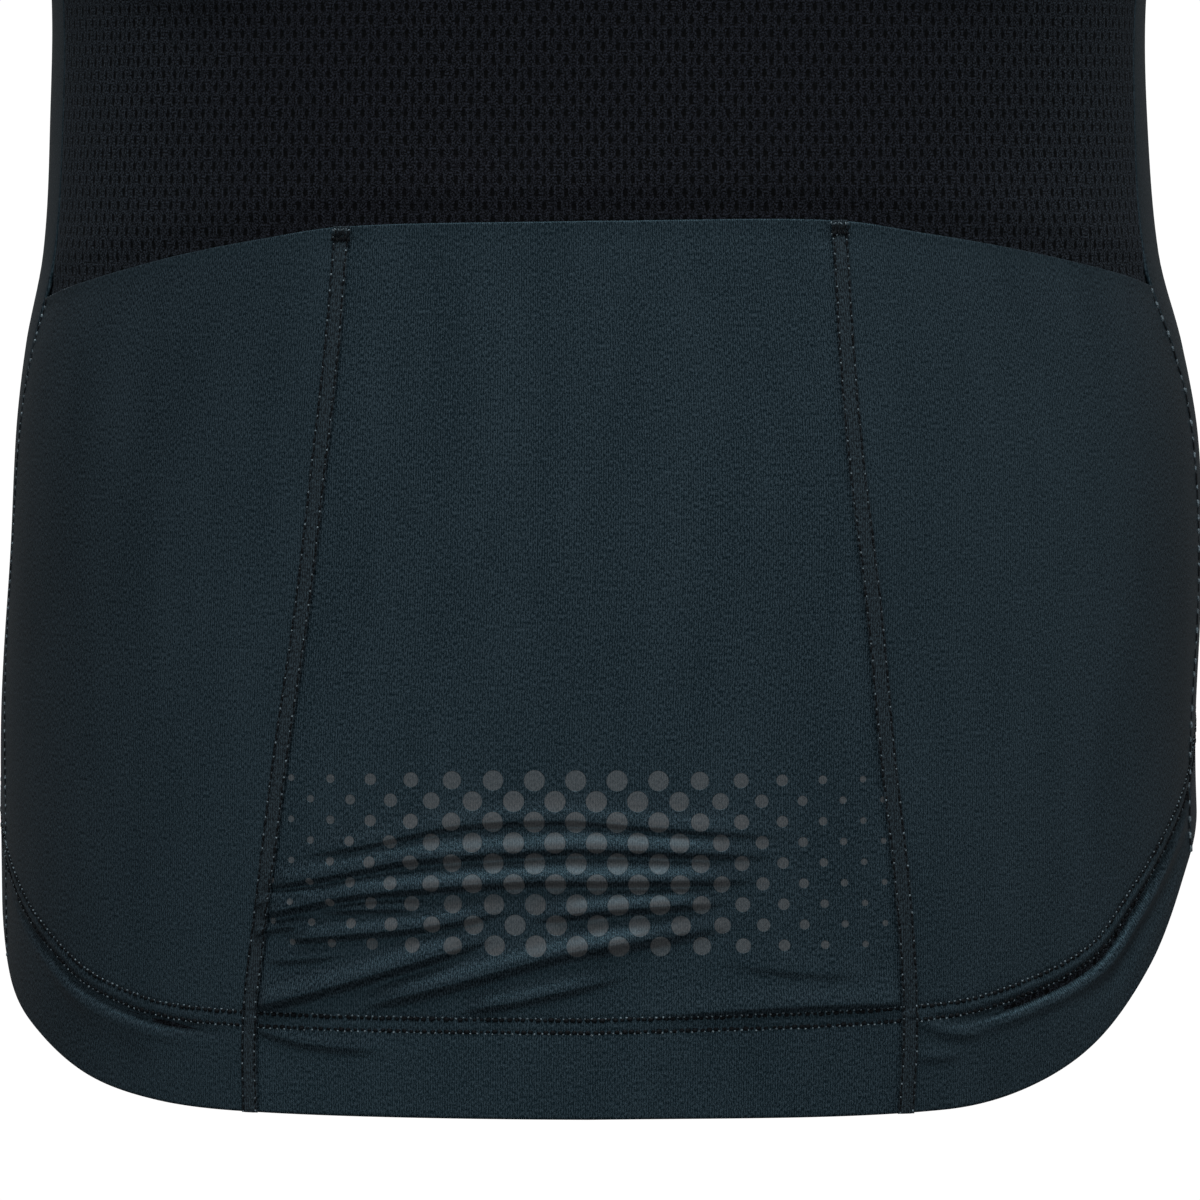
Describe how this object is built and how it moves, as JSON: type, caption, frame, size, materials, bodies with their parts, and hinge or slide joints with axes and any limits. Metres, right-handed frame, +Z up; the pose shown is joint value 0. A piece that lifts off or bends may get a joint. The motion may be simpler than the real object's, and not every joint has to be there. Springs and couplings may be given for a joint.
{
  "type": "cycling jersey",
  "caption": "Short-sleeved cycling jersey, hollow as worn, with a mesh back, rear pockets, a low stand collar and a full front zip whose pull tab swings.",
  "frame": {"origin": "midway between the two points where the shoulder seams meet the collar, on a line across the wearer's shoulders", "axes": "+Z up, +Y out of the wearer's back, +X to the wearer's left"},
  "size_m": [0.6592, 0.2336, 0.7229],
  "materials": {
    "petrol_jersey": "fine ribbed knit with a soft sheen",
    "black_mesh": "open mesh knit, matte",
    "seam_strip": "woven strip, matte",
    "zip_black": "moulded teeth on a woven tape",
    "zip_metal": "dark satin lacquer"
  },
  "bodies": {
    "jersey": {"back": "black_mesh", "front_left": "petrol_jersey", "front_right": "petrol_jersey", "pocket_left": "petrol_jersey", "pocket_centre": "petrol_jersey", "pocket_right": "petrol_jersey", "seam_strip_left": "seam_strip", "seam_strip_right": "seam_strip", "sleeve_left": "petrol_jersey", "sleeve_right": "petrol_jersey", "collar": "petrol_jersey", "zip_tape_left": "zip_black", "zip_tape_right": "zip_black", "zip_chain": "zip_black", "zip_slider": "zip_metal"},
    "pull": {"zip_pull": "zip_metal"}
  },
  "joints": [
    {"name": "pull_swing", "type": "hinge", "parent": "jersey", "child": "pull", "pos_m": [0, -0.07339, -0.05578], "axis": [-1, 0, 0], "range_deg": [0, 170]}
  ]
}
